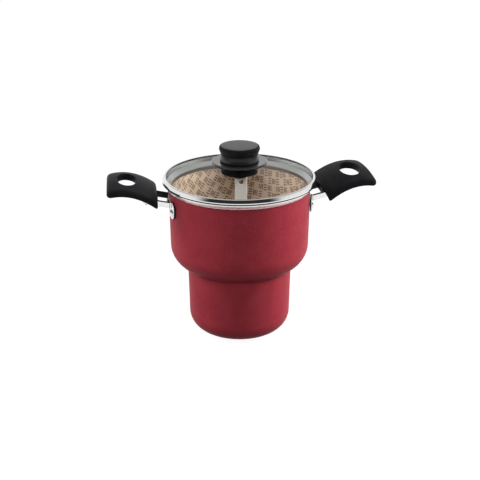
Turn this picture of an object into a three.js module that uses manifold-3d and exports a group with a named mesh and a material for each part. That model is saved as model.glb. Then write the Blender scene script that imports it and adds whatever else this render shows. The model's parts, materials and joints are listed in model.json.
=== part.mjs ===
// Couscous steamer: a stepped pot with two side handles, a perforated steam plate on a lift strip,
// and a glass lid in a metal ring with a screwed-on knob.
// Millimetres, +Z up, origin at the centre of the base, handles along X.

import * as THREE from 'three';
import { mergeVertices } from 'three/addons/utils/BufferGeometryUtils.js';
import Module from 'manifold-3d';

const wasm = await Module();
wasm.setup();

// Driving dimensions: shared clearances and facet counts
const seatGap = 0.3;
const holeGap = 0.3;
const largeTurns = 48;
const mediumTurns = 32;
const smallTurns = 16;

// Driving dimensions: pot shell
const mouthRadius = 70;
const wallThickness = 2;
const baseThickness = 3;
const potHeight = 160.3;
const upperWallTaper = 1.2;
const lowerWallRadius = 53.3;
const lowerWallTaper = 1.2;
const creaseHeight = 71.5;
const shoulderRadius = 24.3;
const baseCornerRadius = 20.7;
const rimFlareHeight = 5.7;
const rimFlareWidth = 4.2;
const rimEdgeHeight = 0.9;

// Driving dimensions: steam plate and lift strip
const plateRadius = 57;
const plateThickness = 1.2;
const plateHoleRadius = 2.2;
const plateHoleSides = 8;
const plateRingCount = 4;
const plateRingPitch = 10;
const plateRingMargin = 9;
const plateHoleSpacing = 11.5;
const stripWidth = 12.6;
const stripThickness = 1.5;
const stripSetback = 10;
const stripFootLength = 24;
const stripHeadroom = 3.25;
const stripCornerRadius = 2.5;
const stripSlotWidth = 5.2;
const stripSlotLength = 7.8;
const stripSlotTopMargin = 2.6;
const stripTurn = -17.4;
const stripRivetRadius = 1.6;
const stripRivetHeadRadius = 3;
const stripRivetHeadHeight = 1.2;
const stripRivetSpacing = 11;

// Driving dimensions: lid
const lidOverhang = 2;
const ringSheet = 0.9;
const ringWall = 1.5;
const ringLipHeight = 1.2;
const ringLipReach = 2.2;
const skirtDepth = 7;
const skirtClearance = 0.5;
const skirtHemHeight = 2.6;
const glassThickness = 3.6;
const glassRise = 4.8;
const glassHoleRadius = 4.5;

// Driving dimensions: knob
const knobBaseRadius = 18.2;
const knobBaseHeight = 8.2;
const knobGuardRadius = 28.2;
const knobGuardThickness = 2.5;
const knobFootRadius = 19.7;
const knobWaistRadius = 18.4;
const knobCapRadius = 20.7;
const knobGripHeight = 15.8;
const knobCapHeight = 8.2;
const knobCapUnder = 2.4;
const knobCapEdge = 2.6;
const knobCrown = 0.8;
const knobFootEdge = 1.2;
const knobWaistHeight = 3.6;
const gasketThickness = 0.7;
const lowerGasketRadius = 10;
const washerRadius = 9.4;
const washerThickness = 0.8;
const screwRadius = 2.5;
const screwHeadRadius = 4.6;
const screwHeadHeight = 2.2;
const screwHeadEdge = 1.3;
const screwSlotWidth = 1.2;
const screwSlotDepth = 1.1;
const screwTipClearance = 0.8;
const insertWall = 1.4;
const insertLength = 10.6;

// Driving dimensions: handle grips, with rises above the strap's top edge at the wall.
// The skew carries each grip's front side outwards, and the lean lowers the right grip's front side,
// both for each millimetre from the grip's middle.
const gripStandoff = 12;
const gripLength = 50;
const gripInnerWidth = 68;
const gripOuterWidth = 62;
const gripThickness = 7;
const gripCrown = 4;
const gripEdge = 2.6;
const gripCornerRadius = 5;
const gripInnerRise = 8.4;
const gripArchRise = 27.8;
const gripOuterRise = 20.8;
const gripSkew = 0.065;
const rightGripLean = 0.045;
const gripHoleRadial = 20;
const gripHoleTangential = 37;
const gripHoleSetback = 30;
const gripHoleSides = 28;
const bossSideGap = 1.35;
const bossDrop = 2.5;

// Driving dimensions: handle brackets and their fasteners
const strapThickness = 1.8;
const strapHeight = 6.6;
const strapSpacing = 31;
const strapReach = 27.5;
const strapDrop = 13.3;
const strapRise = 0.225;
const earThickness = 1.6;
const earWidth = 12.6;
const earOffset = 1.95;
const rivetDrop = 11;
const rivetRadius = 2.2;
const rivetHeadRadius = 4;
const rivetHeadHeight = 2.4;
const rivetTailRadius = 4;
const rivetTailHeight = 1.2;
const handleScrewRadius = 1.9;
const handleScrewHeadRadius = 3.4;
const handleScrewHeadHeight = 2;
const handleScrewLength = 9;

// Sizes worked out from the driving dimensions
const outerRadius = mouthRadius + wallThickness;
const upperWallFoot = outerRadius - upperWallTaper;
const lowerWallFoot = lowerWallRadius - lowerWallTaper;
const shoulderCentre = upperWallFoot - shoulderRadius;
const shoulderAngle = Math.acos((lowerWallRadius - shoulderCentre) / shoulderRadius);
const shoulderHeight = creaseHeight + shoulderRadius * Math.sin(shoulderAngle);
const innerShoulderRadius = shoulderRadius - wallThickness;
const rimOuterRadius = outerRadius + rimFlareWidth;
const rimFlareFoot = potHeight - rimFlareHeight;
const upperWallSlope = upperWallTaper / (rimFlareFoot - shoulderHeight);
const upperWallAt = (height) => upperWallFoot + upperWallSlope * (height - shoulderHeight);

const plateDrop = Math.sqrt(innerShoulderRadius ** 2 - (plateRadius - shoulderCentre) ** 2);
const plateBottom = shoulderHeight - plateDrop + seatGap;
const plateTop = plateBottom + plateThickness;
const stripFoot = plateTop + seatGap;

const ringOuterRadius = rimOuterRadius + lidOverhang;
const ringBottom = potHeight + seatGap;
const flangeTop = ringBottom + ringSheet;
const glassEdgeBottom = flangeTop + seatGap;
const glassEdgeTop = glassEdgeBottom + glassThickness;
const glassEdgeRadius = ringOuterRadius - ringWall - seatGap;
const glassApex = glassEdgeTop + glassRise;
const glassDomeRadius = (glassEdgeRadius ** 2 + glassRise ** 2) / (2 * glassRise);
const glassTopAt = (radius) => glassApex - glassDomeRadius + Math.sqrt(glassDomeRadius ** 2 - radius ** 2);
const lipInnerRadius = ringOuterRadius - ringWall - ringLipReach;
const lipBottom = glassTopAt(lipInnerRadius) + seatGap;
const ringTop = lipBottom + ringLipHeight;
const stripTop = glassApex - glassThickness - stripHeadroom;

const upperGasketBottom = glassApex + seatGap;
const knobBaseBottom = upperGasketBottom + gasketThickness + seatGap;
const guardBottom = knobBaseBottom + knobBaseHeight;
const guardTop = guardBottom + knobGuardThickness;
const gripBottom = guardTop + seatGap;
const knobTop = gripBottom + knobGripHeight;
const insertRadius = screwRadius + holeGap + insertWall;
const lowerGasketTop = glassApex - glassThickness - seatGap;
const washerTop = lowerGasketTop - gasketThickness - seatGap;
const screwHeadTop = washerTop - washerThickness - seatGap;
const screwTip = gripBottom + insertLength - screwTipClearance;

const strapNoseRadius = outerRadius + strapReach;
const strapWallTop = potHeight - strapDrop;
const strapArmCentre = strapSpacing / 2;
const earInnerRadius = upperWallAt(strapWallTop) + seatGap;
const earOuterRadius = earInnerRadius + earThickness;
const earAngle = Math.asin((strapArmCentre + earOffset) / earInnerRadius);
const rivetHeight = strapWallTop - rivetDrop;

const gripInnerRadius = outerRadius + gripStandoff;
const gripOuterRadius = gripInnerRadius + gripLength;
const gripInnerHeight = strapWallTop + gripInnerRise;
const gripArchHeight = strapWallTop + gripArchRise;
const gripOuterHeight = strapWallTop + gripOuterRise;
const gripHoleCentre = gripInnerRadius + gripHoleSetback;
const bossWidth = strapSpacing - strapThickness - 2 * bossSideGap;
const bossBottom = strapWallTop - bossDrop;
const bossOuterRadius = strapNoseRadius - strapThickness - seatGap;
const bossInnerRadius = gripInnerRadius + seatGap;

const quarterTurn = Math.PI / 2;

// Turn a geometry into a solid for joining and cutting.
function toSolid(geometry) {
  const bare = geometry.index ? geometry.toNonIndexed() : geometry.clone();
  bare.deleteAttribute('normal');
  bare.deleteAttribute('uv');
  const merged = mergeVertices(bare, 1e-4);
  const corners = merged.index.array;
  const kept = [];
  for (let i = 0; i < corners.length; i += 3) {
    const [a, b, c] = [corners[i], corners[i + 1], corners[i + 2]];
    if (a !== b && b !== c && c !== a) {
      kept.push(a, b, c);
    }
  }
  const mesh = new wasm.Mesh({
    numProp: 3,
    vertProperties: new Float32Array(merged.attributes.position.array),
    triVerts: new Uint32Array(kept),
  });
  return new wasm.Manifold(mesh);
}

// Turn a solid back into a geometry.
function toGeometry(solid) {
  const mesh = solid.getMesh();
  const geometry = new THREE.BufferGeometry();
  geometry.setAttribute('position', new THREE.BufferAttribute(new Float32Array(mesh.vertProperties), 3));
  geometry.setIndex(new THREE.BufferAttribute(new Uint32Array(mesh.triVerts), 1));
  return geometry;
}

// Revolve a closed [radius, height] outline about Z. The outline runs anticlockwise: up the outside.
function turned(outline, segments) {
  const points = outline.map(([radius, height]) => new THREE.Vector2(radius, height));
  const onAxis = outline[0][0] === 0 && outline[outline.length - 1][0] === 0;
  if (!onAxis) {
    points.push(points[0].clone());
  }
  return new THREE.LatheGeometry(points, segments).rotateX(quarterTurn);
}

// Points on an arc in the [radius, height] plane, angles in radians from the outward direction.
// With a second half-axis the arc is part of an ellipse.
function arc(centreRadius, centreHeight, across, from, to, steps, up = across) {
  const points = [];
  for (let i = 0; i <= steps; i += 1) {
    const angle = from + ((to - from) * i) / steps;
    points.push([centreRadius + across * Math.cos(angle), centreHeight + up * Math.sin(angle)]);
  }
  return points;
}

// A domed head on the axis, from its rim to its top.
function dome(radius, bottom, height) {
  const steps = 4;
  return [...arc(0, bottom, radius, 0, quarterTurn, steps, height).slice(0, steps), [0, bottom + height]];
}

// Points round an ellipse in a plane.
function ellipsePoints(x, y, radiusX, radiusY, sides) {
  const points = [];
  for (let i = 0; i < sides; i += 1) {
    const angle = (2 * Math.PI * i) / sides;
    points.push(new THREE.Vector2(x + radiusX * Math.cos(angle), y + radiusY * Math.sin(angle)));
  }
  return points;
}

function circlePoints(x, y, radius, sides) {
  return ellipsePoints(x, y, radius, radius, sides);
}

// Extrude a flat outline, with holes if given, upwards from a height.
function raised(outline, bottom, depth, holes = []) {
  const shape = new THREE.Shape(outline);
  shape.holes = holes.map((points) => new THREE.Path(points));
  const geometry = new THREE.ExtrudeGeometry(shape, { depth, bevelEnabled: false });
  return geometry.translate(0, 0, bottom);
}

// A cylinder about +X, from one distance to another, at a height.
function pegAlongX(radius, from, to, height, sides) {
  const outline = [[0, from], [radius, from], [radius, to], [0, to]];
  return turned(outline, sides).rotateY(quarterTurn).translate(0, 0, height);
}

// A ring about Z between two radii.
function flatRing(inner, outer, bottom, thickness, segments) {
  const top = bottom + thickness;
  return turned([[inner, bottom], [outer, bottom], [outer, top], [inner, top]], segments);
}

function piece(name, geometry, color, roughness, metalness) {
  const mesh = new THREE.Mesh(geometry, new THREE.MeshStandardMaterial({ color, roughness, metalness }));
  mesh.name = name;
  return mesh;
}

// Finishes
const enamelRed = [0x8a2c36, 0.45, 0.2];
const bakeliteBlack = [0x222226, 0.5, 0];
const steel = [0xc4c4c2, 0.25, 1];
const aluminium = [0xc0beb8, 0.4, 1];
const brass = [0xb08d4a, 0.35, 1];
const silicone = [0x2a2a2c, 0.7, 0];
const glassTint = [0xd8e0dc, 0.05, 0];

// Pot shell: base, lower well, bowl shoulder, upper wall and flared rim
function potOutline() {
  const cornerCentre = lowerWallFoot - baseCornerRadius;
  const innerCorner = baseCornerRadius - wallThickness;
  const innerWell = lowerWallRadius - wallThickness;
  const innerShoulderAngle = Math.acos((innerWell - shoulderCentre) / innerShoulderRadius);
  return [
    [0, 0],
    ...arc(cornerCentre, baseCornerRadius, baseCornerRadius, -quarterTurn, 0, 5),
    ...arc(shoulderCentre, shoulderHeight, shoulderRadius, -shoulderAngle, 0, 7),
    [outerRadius, rimFlareFoot],
    [rimOuterRadius, potHeight - rimEdgeHeight],
    [rimOuterRadius, potHeight],
    [rimOuterRadius - wallThickness, potHeight],
    [mouthRadius, rimFlareFoot],
    ...arc(shoulderCentre, shoulderHeight, innerShoulderRadius, 0, -innerShoulderAngle, 6),
    ...arc(cornerCentre, baseThickness + innerCorner, innerCorner, 0, -quarterTurn, 4),
    [0, baseThickness],
  ];
}

// The four rivet places: +X or -X side, front or back of the handle.
const rivetPlaces = [];
for (const [side, sideTurn] of [['left', Math.PI], ['right', 0]]) {
  for (const row of ['front', 'back']) {
    const towardsFront = (side === 'right') === (row === 'front') ? -1 : 1;
    rivetPlaces.push({ name: `rivet_${side}_${row}`, turn: sideTurn + towardsFront * earAngle });
  }
}

function makePot() {
  let solid = toSolid(turned(potOutline(), largeTurns));
  for (const { turn } of rivetPlaces) {
    const drill = pegAlongX(rivetRadius + holeGap, mouthRadius / 2, outerRadius * 2, rivetHeight, smallTurns);
    solid = solid.subtract(toSolid(drill.rotateZ(turn)));
  }
  return piece('pot_body', toGeometry(solid), ...enamelRed);
}

// Rivet: domed head on the bracket's ear, shank through ear and wall, flat tail inside the pot
function makeRivet({ name, turn }) {
  const headSeat = earOuterRadius + seatGap;
  const tailSeat = upperWallAt(rivetHeight) - wallThickness - 2 * seatGap;
  const outline = [
    [0, tailSeat - rivetTailHeight],
    [rivetTailRadius, tailSeat - rivetTailHeight],
    [rivetTailRadius, tailSeat],
    [rivetRadius, tailSeat],
    [rivetRadius, headSeat],
    ...dome(rivetHeadRadius, headSeat, rivetHeadHeight),
  ];
  const geometry = turned(outline, smallTurns).rotateY(quarterTurn).translate(0, 0, rivetHeight);
  return piece(name, geometry.rotateZ(turn), ...aluminium);
}

// Bracket, on the +X side: a U strap on edge whose two ends turn into riveted ears
function strapOutline(margin) {
  const halfSheet = strapThickness / 2 + margin;
  const root = (earInnerRadius + earThickness / 2) * Math.cos(earAngle);
  const nose = strapNoseRadius + margin;
  const inside = strapNoseRadius - strapThickness - margin;
  const outerSide = strapArmCentre + halfSheet;
  const innerSide = strapArmCentre - halfSheet;
  return [
    [root, -outerSide], [nose, -outerSide], [nose, outerSide], [root, outerSide],
    [root, innerSide], [inside, innerSide], [inside, -innerSide], [root, -innerSide],
  ].map(([x, y]) => new THREE.Vector2(x, y));
}

// Tilt a strap upwards as it leaves the wall.
function rising(geometry) {
  const position = geometry.attributes.position;
  for (let i = 0; i < position.count; i += 1) {
    position.setZ(i, position.getZ(i) + strapRise * (position.getX(i) - outerRadius));
  }
  return geometry;
}

function strap(margin) {
  const bottom = strapWallTop - strapHeight - margin;
  return toSolid(rising(raised(strapOutline(margin), bottom, strapHeight + 2 * margin)));
}

// An ear lies flat on the wall: a tab with a round end about its rivet.
function ear(turn) {
  const half = earWidth / 2;
  const tip = [];
  for (let i = 0; i <= smallTurns / 2; i += 1) {
    const angle = Math.PI + (Math.PI * i) / (smallTurns / 2);
    tip.push(new THREE.Vector2(half * Math.cos(angle), rivetHeight + half * Math.sin(angle)));
  }
  const outline = [...tip, new THREE.Vector2(half, strapWallTop), new THREE.Vector2(-half, strapWallTop)];
  const hole = circlePoints(0, rivetHeight, rivetRadius + holeGap, smallTurns);
  const plate = raised(outline, 0, earThickness, [hole]).rotateX(quarterTurn).rotateZ(quarterTurn);
  return toSolid(plate.translate(earInnerRadius, 0, 0).rotateZ(turn));
}

// The handle screw runs along X at the middle of the strap's nose.
const handleScrewHeight = strapWallTop - strapHeight / 2 + strapRise * (strapNoseRadius - outerRadius);

function makeBracket(name) {
  const drill = toSolid(
    pegAlongX(handleScrewRadius + holeGap, gripInnerRadius, gripOuterRadius, handleScrewHeight, smallTurns),
  );
  const solid = strap(0).add(ear(earAngle)).add(ear(-earAngle)).subtract(drill);
  return piece(name, toGeometry(solid), ...steel);
}

// Handle screw: enters the grip's boss from the far side of the strap's nose
function makeHandleScrew(name) {
  const seat = strapNoseRadius + seatGap;
  const outline = [
    [0, seat - handleScrewLength - strapThickness],
    [handleScrewRadius, seat - handleScrewLength - strapThickness],
    [handleScrewRadius, seat],
    ...dome(handleScrewHeadRadius, seat, handleScrewHeadHeight),
  ];
  const geometry = turned(outline, smallTurns).rotateY(quarterTurn).translate(0, 0, handleScrewHeight);
  return piece(name, geometry, ...steel);
}

// Grip, on the +X side: an arched, crowned bar. A station says how far along the bar a section stands,
// and how far its ends are drawn in by the rounded outer corners.
function gripStations() {
  const straightSteps = 9;
  const cornerSteps = 5;
  const cornerStart = 1 - gripCornerRadius / gripLength;
  const stations = [];
  for (let i = 0; i < straightSteps; i += 1) {
    stations.push({ along: (cornerStart * i) / straightSteps, inset: 0 });
  }
  for (let i = 0; i <= cornerSteps; i += 1) {
    const angle = (quarterTurn * i) / cornerSteps;
    stations.push({
      along: cornerStart + (1 - cornerStart) * Math.sin(angle),
      inset: gripCornerRadius * (1 - Math.cos(angle)),
    });
  }
  return stations;
}

function gripCentreHeight(along) {
  const back = 1 - along;
  return gripInnerHeight * back ** 2 + 2 * gripArchHeight * along * back + gripOuterHeight * along ** 2;
}

function gripSection({ along, inset }, acrossSteps) {
  const half = (gripInnerWidth + (gripOuterWidth - gripInnerWidth) * along) / 2 - inset;
  const flat = half - gripEdge;
  const top = (y) => gripCentreHeight(along) - gripCrown * (y / (gripInnerWidth / 2)) ** 2;
  const points = [];
  for (let i = 0; i <= acrossSteps; i += 1) {
    const y = flat * (1 - (2 * i) / acrossSteps);
    points.push([y, top(y)]);
  }
  points.push([-half, top(half) - gripEdge], [-half, top(half) - gripThickness + gripEdge]);
  for (let i = 0; i <= acrossSteps; i += 1) {
    const y = flat * ((2 * i) / acrossSteps - 1);
    points.push([y, top(y) - gripThickness]);
  }
  points.push([half, top(half) - gripThickness + gripEdge], [half, top(half) - gripEdge]);
  return points;
}

function gripBar(skew, lean) {
  const acrossSteps = 8;
  const stations = gripStations();
  const sections = stations.map((station) => gripSection(station, acrossSteps));
  const size = sections[0].length;
  const vertices = sections.flatMap((section, station) => {
    const radius = gripInnerRadius + gripLength * stations[station].along;
    return section.flatMap(([y, z]) => [radius + skew * y, y, z + lean * y]);
  });
  const faces = [];
  for (let station = 0; station + 1 < sections.length; station += 1) {
    for (let i = 0; i < size; i += 1) {
      const here = station * size + i;
      const next = station * size + ((i + 1) % size);
      faces.push(here, next, here + size, next, next + size, here + size);
    }
  }
  const cap = (section) =>
    THREE.ShapeUtils.triangulateShape(section.map(([y, z]) => new THREE.Vector2(y, z)), []);
  const last = (sections.length - 1) * size;
  for (const [a, b, c] of cap(sections[0])) faces.push(a, c, b);
  for (const [a, b, c] of cap(sections[sections.length - 1])) faces.push(last + a, last + b, last + c);
  const geometry = new THREE.BufferGeometry();
  geometry.setAttribute('position', new THREE.Float32BufferAttribute(vertices, 3));
  geometry.setIndex(faces);
  return toSolid(geometry);
}

// The boss hangs under the grip, inside the U strap, and takes the handle screw.
function gripBoss() {
  const middleAt = (radius) => gripCentreHeight((radius - gripInnerRadius) / gripLength) - gripThickness / 2;
  const outline = [
    [bossInnerRadius, bossBottom],
    [bossOuterRadius, bossBottom],
    [bossOuterRadius, middleAt(bossOuterRadius)],
    [bossInnerRadius, middleAt(bossInnerRadius)],
  ].map(([x, z]) => new THREE.Vector2(x, z));
  return toSolid(raised(outline, -bossWidth / 2, bossWidth).rotateX(quarterTurn));
}

function makeGrip(name, skew, lean) {
  const holeHeight = 4 * gripThickness;
  const holeOutline = ellipsePoints(
    gripHoleCentre, 0, gripHoleRadial / 2, gripHoleTangential / 2, gripHoleSides,
  ).map(({ x, y }) => new THREE.Vector2(x + skew * y, y));
  const hole = toSolid(raised(holeOutline, gripArchHeight - holeHeight, 2 * holeHeight));
  const pilot = toSolid(
    pegAlongX(
      handleScrewRadius + holeGap,
      strapNoseRadius - handleScrewLength - strapThickness - seatGap,
      gripOuterRadius,
      handleScrewHeight,
      smallTurns,
    ),
  );
  const solid = gripBar(skew, lean).add(gripBoss()).subtract(hole).subtract(strap(seatGap)).subtract(pilot);
  return piece(name, toGeometry(solid), ...bakeliteBlack);
}

// The strip's foot reaches forward from the upright, and its rivets stand along it.
const footBack = stripSetback + stripThickness;
const footFront = footBack - stripFootLength;
const stripRivetPlaces = [-1, 1].map(
  (side) => (stripSetback + footFront) / 2 + (side * stripRivetSpacing) / 2,
);

// Steam plate: a disc with rings of round holes, clear of the strip's foot
function plateHoles() {
  const holes = [];
  for (let ring = 0; ring < plateRingCount; ring += 1) {
    const radius = plateRadius - plateRingMargin - ring * plateRingPitch;
    const count = Math.floor((2 * Math.PI * radius) / plateHoleSpacing);
    for (let i = 0; i < count; i += 1) {
      const angle = (2 * Math.PI * i) / count;
      const x = radius * Math.cos(angle);
      const y = radius * Math.sin(angle);
      const besideFoot = Math.abs(x) > stripWidth / 2 + plateHoleRadius;
      const beyondFoot = y < footFront - plateHoleRadius || y > footBack + plateHoleRadius;
      if (besideFoot || beyondFoot) {
        holes.push(circlePoints(x, y, plateHoleRadius, plateHoleSides));
      }
    }
  }
  return holes;
}

function makePlate() {
  const rivetHoles = stripRivetPlaces.map((y) => circlePoints(0, y, stripRivetRadius + holeGap, smallTurns));
  const outline = circlePoints(0, 0, plateRadius, largeTurns);
  const geometry = raised(outline, plateBottom, plateThickness, [...plateHoles(), ...rivetHoles]);
  return piece('steam_plate', geometry, ...aluminium);
}

// Lift strip: a bent flat bar, foot on the plate, upright behind the axis with a slot near its top
function makeStrip() {
  const half = stripWidth / 2;
  const corner = stripTop - stripCornerRadius;
  const upright = [
    [-half, stripFoot], [half, stripFoot], [half, corner], [half - stripCornerRadius, stripTop],
    [stripCornerRadius - half, stripTop], [-half, corner],
  ].map(([x, z]) => new THREE.Vector2(x, z));
  const slotRadius = stripSlotWidth / 2;
  const slotTop = stripTop - stripSlotTopMargin - slotRadius;
  const slotBottom = stripTop - stripSlotTopMargin - stripSlotLength + slotRadius;
  const slot = [];
  for (const [centre, start] of [[slotTop, 0], [slotBottom, Math.PI]]) {
    for (let i = 0; i <= smallTurns / 2; i += 1) {
      const angle = start + (Math.PI * i) / (smallTurns / 2);
      slot.push(new THREE.Vector2(slotRadius * Math.cos(angle), centre + slotRadius * Math.sin(angle)));
    }
  }
  const wall = raised(upright, 0, stripThickness, [slot]).rotateX(quarterTurn);
  wall.translate(0, footBack, 0);
  const footOutline = [
    [-half, footFront], [half, footFront], [half, stripSetback + stripThickness / 2],
    [-half, stripSetback + stripThickness / 2],
  ].map(([x, y]) => new THREE.Vector2(x, y));
  const rivetHoles = stripRivetPlaces.map((y) => circlePoints(0, y, stripRivetRadius + holeGap, smallTurns));
  const flat = raised(footOutline, stripFoot, stripThickness, rivetHoles);
  return piece('lift_strip', toGeometry(toSolid(wall).add(toSolid(flat))), ...aluminium);
}

function makeStripRivet(name, y) {
  const headBottom = stripFoot + stripThickness + seatGap;
  const tailTop = plateBottom - seatGap;
  const outline = [
    [0, tailTop - stripRivetHeadHeight],
    [stripRivetHeadRadius, tailTop - stripRivetHeadHeight],
    [stripRivetHeadRadius, tailTop],
    [stripRivetRadius, tailTop],
    [stripRivetRadius, headBottom],
    ...dome(stripRivetHeadRadius, headBottom, stripRivetHeadHeight),
  ];
  return piece(name, turned(outline, smallTurns).translate(0, y, 0), ...aluminium);
}

// Lid ring: rolled lip over the glass, channel round its edge, flange under it and a skirt into the mouth
function makeRing() {
  const rollRadius = ringLipHeight / 2;
  const channel = ringOuterRadius - ringWall;
  const skirtOuter = mouthRadius - skirtClearance;
  const skirtInner = skirtOuter - ringSheet;
  const skirtBottom = ringBottom - skirtDepth;
  const hemTop = skirtBottom + skirtHemHeight;
  const slopeTop = rimOuterRadius - wallThickness;
  const outline = [
    [ringOuterRadius - ringSheet, ringBottom],
    [ringOuterRadius, ringBottom + ringSheet],
    ...arc(ringOuterRadius - rollRadius, ringTop - rollRadius, rollRadius, 0, quarterTurn, 3),
    ...arc(lipInnerRadius + rollRadius, ringTop - rollRadius, rollRadius, quarterTurn, Math.PI, 3),
    [lipInnerRadius + ringSheet / 2, lipBottom],
    [channel, lipBottom],
    [channel, flangeTop],
    [slopeTop, flangeTop],
    [skirtInner, hemTop + ringSheet],
    [skirtInner, skirtBottom],
    [skirtOuter, skirtBottom],
    [skirtOuter, hemTop],
    [slopeTop - ringSheet, ringBottom],
  ];
  return piece('lid_ring', turned(outline, largeTurns), ...steel);
}

// Lid glass: a shallow dome of even thickness with a hole for the knob screw
function makeGlass() {
  const steps = 7;
  const upper = [];
  for (let i = 0; i <= steps; i += 1) {
    const radius = glassEdgeRadius + ((glassHoleRadius - glassEdgeRadius) * i) / steps;
    upper.push([radius, glassTopAt(radius)]);
  }
  const lower = upper.map(([radius, height]) => [radius, height - glassThickness]).reverse();
  return piece('lid_glass', turned([...lower, ...upper], largeTurns), ...glassTint);
}

// Knob: guard disc on its foot, mushroom grip above, and the screw that clamps the stack to the glass
function makeGuard() {
  const bore = screwRadius + holeGap;
  const bevel = knobGuardThickness / 3;
  const outline = [
    [bore, knobBaseBottom],
    [knobBaseRadius, knobBaseBottom],
    [knobBaseRadius, guardBottom],
    [knobGuardRadius - bevel, guardBottom],
    [knobGuardRadius, guardBottom + bevel],
    [knobGuardRadius, guardTop - bevel],
    [knobGuardRadius - bevel, guardTop],
    [bore, guardTop],
  ];
  return piece('knob_guard', turned(outline, mediumTurns), ...bakeliteBlack);
}

function makeKnobGrip() {
  const bore = insertRadius + holeGap;
  const boreTop = gripBottom + insertLength + 2 * seatGap;
  const capBottom = knobTop - knobCapHeight;
  const capReach = knobCapRadius - knobWaistRadius;
  const capShoulder = knobTop - knobCrown - knobCapEdge;
  const outline = [
    [0, boreTop],
    [bore, boreTop],
    [bore, gripBottom],
    [knobFootRadius, gripBottom],
    [knobFootRadius, gripBottom + knobFootEdge],
    [knobWaistRadius, gripBottom + knobWaistHeight],
    ...arc(knobWaistRadius, capBottom + knobCapUnder, capReach, -quarterTurn, 0, 3, knobCapUnder),
    ...arc(knobCapRadius - knobCapEdge, capShoulder, knobCapEdge, 0, quarterTurn, 3),
    [0, knobTop],
  ];
  return piece('knob_grip', turned(outline, mediumTurns), ...bakeliteBlack);
}

function makeKnobScrew() {
  const outline = [
    [0, screwHeadTop - screwHeadHeight],
    [screwHeadRadius - screwHeadEdge, screwHeadTop - screwHeadHeight],
    [screwHeadRadius, screwHeadTop - screwHeadHeight + screwHeadEdge],
    [screwHeadRadius, screwHeadTop],
    [screwRadius, screwHeadTop],
    [screwRadius, screwTip],
    [0, screwTip],
  ];
  const slotBottom = screwHeadTop - screwHeadHeight;
  const slotOutline = [
    [-2 * screwHeadRadius, -screwSlotWidth / 2], [2 * screwHeadRadius, -screwSlotWidth / 2],
    [2 * screwHeadRadius, screwSlotWidth / 2], [-2 * screwHeadRadius, screwSlotWidth / 2],
  ].map(([x, y]) => new THREE.Vector2(x, y));
  const slot = toSolid(raised(slotOutline, slotBottom - screwSlotDepth, 2 * screwSlotDepth));
  const solid = toSolid(turned(outline, smallTurns)).subtract(slot);
  return piece('knob_screw', toGeometry(solid), ...steel);
}

function makeKnobFittings() {
  const bore = screwRadius + holeGap;
  const upper = flatRing(glassHoleRadius, knobBaseRadius, upperGasketBottom, gasketThickness, mediumTurns);
  const lowerBottom = lowerGasketTop - gasketThickness;
  const lower = flatRing(glassHoleRadius, lowerGasketRadius, lowerBottom, gasketThickness, mediumTurns);
  const washer = flatRing(bore, washerRadius, washerTop - washerThickness, washerThickness, mediumTurns);
  const insertBottom = gripBottom + seatGap;
  const insert = flatRing(bore, insertRadius, insertBottom, insertLength - seatGap, smallTurns);
  return [
    piece('knob_gasket_upper', upper, ...silicone),
    piece('knob_gasket_lower', lower, ...silicone),
    piece('knob_washer', washer, ...steel),
    piece('knob_insert', insert, ...brass),
  ];
}

// The whole steamer, closed: pot with its handles, plate group turned about the axis, lid group
const pot = new THREE.Group();
pot.add(makePot());
for (const place of rivetPlaces) pot.add(makeRivet(place));
for (const [side, turn, skew, lean] of [
  ['left', Math.PI, gripSkew, 0],
  ['right', 0, -gripSkew, rightGripLean],
]) {
  const handle = new THREE.Group();
  handle.add(
    makeGrip(`handle_grip_${side}`, skew, lean),
    makeBracket(`handle_bracket_${side}`),
    makeHandleScrew(`handle_screw_${side}`),
  );
  handle.rotation.z = turn;
  pot.add(handle);
}

const plate = new THREE.Group();
plate.add(makePlate(), makeStrip());
stripRivetPlaces.forEach((y, i) => plate.add(makeStripRivet(`strip_rivet_${['front', 'back'][i]}`, y)));
plate.rotation.z = THREE.MathUtils.degToRad(stripTurn);

const lid = new THREE.Group();
lid.add(makeRing(), makeGlass(), makeGuard(), makeKnobGrip(), makeKnobScrew(), ...makeKnobFittings());

const steamer = new THREE.Group();
steamer.name = 'couscous_steamer';
steamer.add(pot, plate, lid);

export default steamer;
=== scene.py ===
"""Looks of the couscous steamer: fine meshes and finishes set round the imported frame."""

import json
import math

import bmesh
import bpy
import numpy as np
from mathutils import Matrix, Vector


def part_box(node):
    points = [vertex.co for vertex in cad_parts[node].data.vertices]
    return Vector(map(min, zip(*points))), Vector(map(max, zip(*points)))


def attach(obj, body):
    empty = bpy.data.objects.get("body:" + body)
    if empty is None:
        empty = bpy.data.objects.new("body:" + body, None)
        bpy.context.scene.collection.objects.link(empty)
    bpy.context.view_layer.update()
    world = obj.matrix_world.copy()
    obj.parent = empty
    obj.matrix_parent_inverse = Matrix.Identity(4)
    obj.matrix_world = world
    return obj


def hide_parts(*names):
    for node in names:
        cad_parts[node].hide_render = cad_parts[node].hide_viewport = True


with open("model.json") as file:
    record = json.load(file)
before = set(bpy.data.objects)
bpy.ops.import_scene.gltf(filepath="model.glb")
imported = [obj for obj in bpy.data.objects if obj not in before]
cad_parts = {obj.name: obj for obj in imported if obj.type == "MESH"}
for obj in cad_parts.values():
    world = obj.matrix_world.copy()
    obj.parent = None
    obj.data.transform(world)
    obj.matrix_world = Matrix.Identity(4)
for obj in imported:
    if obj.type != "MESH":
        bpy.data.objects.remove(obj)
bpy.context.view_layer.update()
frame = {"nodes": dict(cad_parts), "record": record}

MM = 0.001
TOUCH = 1e-6
SHARP_ANGLE = math.radians(32)
RECORD = frame["record"]
BODY_OF = {node: body for body, nodes in RECORD["behaviour"]["bodies"].items() for node in nodes}


def cad_box(node):
    """A CAD node's lowest and highest corners at rest, in millimetres."""
    low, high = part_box(node)
    return low / MM, high / MM


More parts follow.
